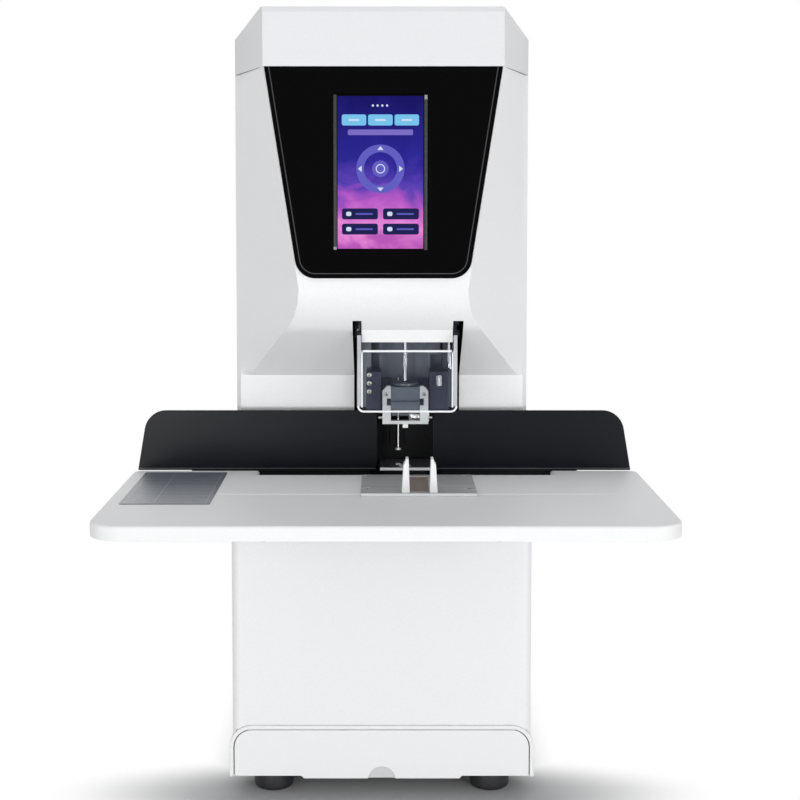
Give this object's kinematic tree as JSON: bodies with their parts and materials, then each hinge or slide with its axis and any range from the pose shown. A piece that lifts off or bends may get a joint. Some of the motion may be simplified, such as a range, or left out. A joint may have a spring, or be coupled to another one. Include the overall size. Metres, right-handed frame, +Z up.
{
  "type": "document riveting machine",
  "caption": "Desk machine that drills a stack of paper and rivets it with plastic tube, with a touch screen, sliding table, back fence and clear guard.",
  "frame": {"origin": "centre of the cabinet's footprint, on the surface that the rubber feet stand on", "axes": "+Z up; the screen, table and drawer face -Y; +X to the right seen from the front"},
  "size_m": [0.388, 0.4206, 0.597],
  "materials": {
    "white_paint": "satin powder coat",
    "white_plastic": "fine satin",
    "grey_cover": "satin",
    "black_gloss": "gloss",
    "screen_glass": "gloss",
    "strip_grey": "satin",
    "rubber": "matt",
    "table_paint": "satin with a slight gloss",
    "navy_paint": "satin",
    "steel": "brushed",
    "dark_steel": "brushed, dark",
    "chrome": "polished",
    "zinc": "zinc plated",
    "cast": "painted dark",
    "alloy": "fine machined",
    "label": "matt",
    "brown_plastic": "matt",
    "motor_black": "satin",
    "block_navy": "satin",
    "clear_plastic": "clear",
    "clear_bracket": "frosted clear",
    "pad_plastic": "matt",
    "circuit_green": "satin"
  },
  "bodies": {
    "frame": {"base_chassis": "dark_steel", "rubber_feet": "rubber", "cabinet_shell": "white_paint", "arch_rim": "white_paint", "column_cover": "white_paint", "top_cap": "white_paint", "display_panel": "black_gloss", "touch_screen": "screen_glass", "screen_strips": "strip_grey", "rear_cover": "grey_cover", "rear_cover_screws": "zinc", "power_inlet": "motor_black", "table_console": "dark_steel", "bearing_blocks": "alloy", "table_motor": "motor_black", "back_fence": "navy_paint", "fence_brackets": "motor_black", "frame_spine": "dark_steel", "guide_rail": "steel", "anvil_arm": "cast", "bed_plate": "dark_steel", "drill_pad": "pad_plastic", "lower_die": "steel", "drill_feed_motor": "motor_black", "press_motor": "motor_black", "feed_rods": "dark_steel", "backing_plate": "dark_steel", "terminal_block": "block_navy", "terminal_screws": "zinc", "sensor_block": "block_navy", "guard_pivots": "dark_steel", "power_supply": "zinc", "control_board": "circuit_green"},
    "table": {"worktable": "table_paint", "table_plate": "steel", "plate_screws": "zinc", "plate_insert": "brown_plastic", "guide_fingers": "steel", "label_plate": "label", "table_rails": "steel", "table_rack": "steel"},
    "table_pinion": {"drive_pinion": "steel"},
    "drill_head": {"drill_carriage": "steel", "drill_motor": "motor_black"},
    "spindle": {"drill_spindle": "steel", "drill_bit": "steel"},
    "drill_screw": {"drill_feed_screw": "chrome"},
    "press_head": {"press_carriage": "steel", "presser_block": "alloy", "press_disc": "steel", "presser_bracket": "clear_bracket", "bracket_screws": "zinc", "knurled_nozzle": "alloy", "bracket_pins": "dark_steel"},
    "lift_screw": {"press_screw": "chrome"},
    "needle": {"rivet_needle": "chrome"},
    "guard": {"clear_guard": "clear_plastic"},
    "drawer": {"waste_drawer": "white_plastic"},
    "rocker": {"rocker_switch": "motor_black"}
  },
  "joints": [
    {"name": "table_slide", "type": "slide", "parent": "frame", "child": "table", "axis": [1, 0, 0], "range_m": [-0.08, 0.08]},
    {"name": "pinion_turn", "type": "hinge", "parent": "frame", "child": "table_pinion", "pos_m": [-0.06, -0.101, 0.225], "axis": [0, 0, 1], "range_deg": [-275, 275]},
    {"name": "drill_feed", "type": "slide", "parent": "frame", "child": "drill_head", "axis": [0, 0, 1], "range_m": [-0.048, 0]},
    {"name": "spindle_turn", "type": "hinge", "parent": "drill_head", "child": "spindle", "pos_m": [0.018, -0.097, 0.4], "axis": [0, 0, 1], "continuous": true},
    {"name": "drill_screw_turn", "type": "hinge", "parent": "frame", "child": "drill_screw", "pos_m": [-0.02, -0.084, 0.45], "axis": [0, 0, 1], "range_deg": [-2200, 30]},
    {"name": "press_feed", "type": "slide", "parent": "frame", "child": "press_head", "axis": [0, 0, 1], "range_m": [-0.032, 0]},
    {"name": "press_screw_turn", "type": "hinge", "parent": "frame", "child": "lift_screw", "pos_m": [0.0525, -0.084, 0.45], "axis": [0, 0, 1], "range_deg": [-2910, 30]},
    {"name": "needle_lift", "type": "slide", "parent": "press_head", "child": "needle", "axis": [0, 0, 1], "range_m": [0, 0.01]},
    {"name": "guard_hinge", "type": "hinge", "parent": "frame", "child": "guard", "pos_m": [0.019, -0.1315, 0.3586], "axis": [-1, 0, 0], "range_deg": [0, 80]},
    {"name": "drawer_slide", "type": "slide", "parent": "frame", "child": "drawer", "axis": [0, -1, 0], "range_m": [0, 0.12]},
    {"name": "rocker_tilt", "type": "hinge", "parent": "frame", "child": "rocker", "pos_m": [-0.032, 0.117, 0.09], "axis": [1, 0, 0], "range_deg": [0, 14]}
  ],
  "couplings": [
    {"joint": "pinion_turn", "follows": "table_slide", "rad_per_m": 58.824},
    {"joint": "drill_screw_turn", "follows": "drill_feed", "rad_per_m": 785.4},
    {"joint": "press_screw_turn", "follows": "press_feed", "rad_per_m": 1570.8}
  ]
}
